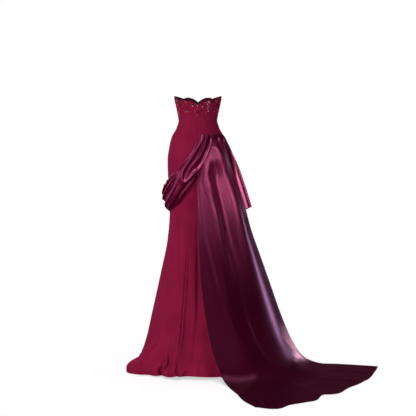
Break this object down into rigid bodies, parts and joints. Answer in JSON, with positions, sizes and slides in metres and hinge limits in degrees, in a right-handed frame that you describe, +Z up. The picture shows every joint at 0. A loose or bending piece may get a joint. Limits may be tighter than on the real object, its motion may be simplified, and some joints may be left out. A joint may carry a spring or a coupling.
{
  "type": "beaded evening gown",
  "caption": "Strapless floor-length evening gown with a beaded scalloped neckline, a pleated satin swag round one hip and a satin train that trails over the floor.",
  "frame": {"origin": "centre of the waist, where the wearer holds the gown", "axes": "+X to the wearer's right, +Y to the wearer's front, +Z up along the body, which is also the longest extent"},
  "size_m": [1.3227, 1.0504, 1.4205],
  "materials": {
    "crepe": "matte crepe",
    "satin": "satin",
    "zip_tape": "woven tape",
    "beads": "faceted glass"
  },
  "bodies": {
    "root": {"back_zip": "zip_tape", "front": "crepe", "side_front_left": "crepe", "side_back_left": "crepe", "back_left": "crepe", "back_right": "crepe", "side_back_right": "crepe", "side_front_right": "crepe", "swag_back": "satin", "swag_front": "satin", "train": "satin", "side_cascade": "satin"}
  },
  "joints": []
}
